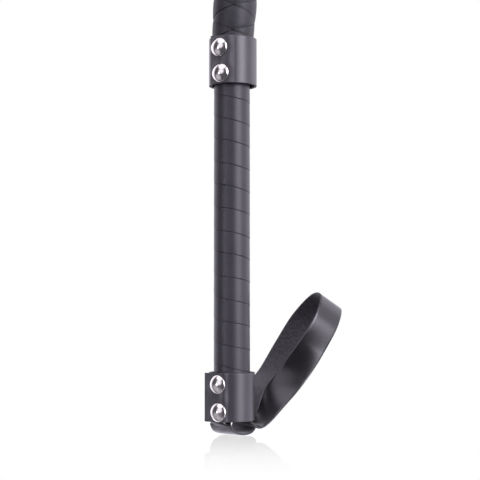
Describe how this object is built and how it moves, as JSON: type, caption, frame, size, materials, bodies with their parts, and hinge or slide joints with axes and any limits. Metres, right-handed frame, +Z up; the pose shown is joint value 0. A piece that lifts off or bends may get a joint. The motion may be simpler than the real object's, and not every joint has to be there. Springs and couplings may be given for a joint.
{
  "type": "riding crop",
  "caption": "Riding crop with a spiral leather grip between riveted cuffs, a folded wrist loop at the butt, a tapered plaited shaft and a leather keeper.",
  "frame": {"origin": "middle of the grip, on the handle's axis", "axes": "+Z up the handle towards the tip; -Y towards the rivet heads; +X towards the wrist loop"},
  "size_m": [0.088, 0.0702, 0.6656],
  "materials": {
    "grip_leather": "smooth semi-gloss",
    "cuff_leather": "smooth semi-gloss",
    "plait_leather": "smooth semi-gloss",
    "strap_leather": "smooth semi-gloss outside, rough inside",
    "keeper_leather": "smooth semi-gloss",
    "rivet_metal": "polished nickel",
    "dowel_wood": "plain turned",
    "rod_glass_fibre": "smooth",
    "padding_cord": "wound cotton",
    "thread": "waxed"
  },
  "bodies": {
    "handle": {"grip_dowel": "dowel_wood", "rod_root": "rod_glass_fibre", "grip_wrap": "grip_leather", "butt_cuff": "cuff_leather", "top_cuff": "cuff_leather", "butt_rivet_posts": "rivet_metal", "butt_rivet_caps": "rivet_metal", "top_rivet_posts": "rivet_metal", "top_rivet_caps": "rivet_metal", "wrist_strap_ends": "strap_leather", "strand_root_1": "plait_leather", "strand_root_2": "plait_leather", "strand_root_3": "plait_leather", "strand_root_4": "plait_leather"},
    "shaft": {"shaft_rod": "rod_glass_fibre", "shaft_padding": "padding_cord", "strand_1": "plait_leather", "strand_2": "plait_leather", "strand_3": "plait_leather", "strand_4": "plait_leather", "tip_whipping": "thread", "keeper_neck": "keeper_leather"},
    "keeper_flap": {"keeper": "keeper_leather", "keeper_stitching": "thread"},
    "wrist_strap": {"wrist_loop": "strap_leather"}
  },
  "joints": [
    {"name": "shaft_flex", "type": "hinge", "parent": "handle", "child": "shaft", "pos_m": [0.0006, 0, 0.122], "axis": [1, 0, 0], "range_deg": [-12, 12], "stiffness_Nm_per_rad": 8},
    {"name": "keeper_flex", "type": "hinge", "parent": "shaft", "child": "keeper_flap", "pos_m": [0.02372, 0, 0.46121], "axis": [0.9977, 0, -0.068], "range_deg": [-60, 60], "stiffness_Nm_per_rad": 0.3},
    {"name": "wrist_loop_swing", "type": "hinge", "parent": "handle", "child": "wrist_strap", "pos_m": [0.01185, 0.01235, -0.1213], "axis": [0.5452, -0.8383, 0], "range_deg": [-130, 5], "stiffness_Nm_per_rad": 0.2}
  ]
}
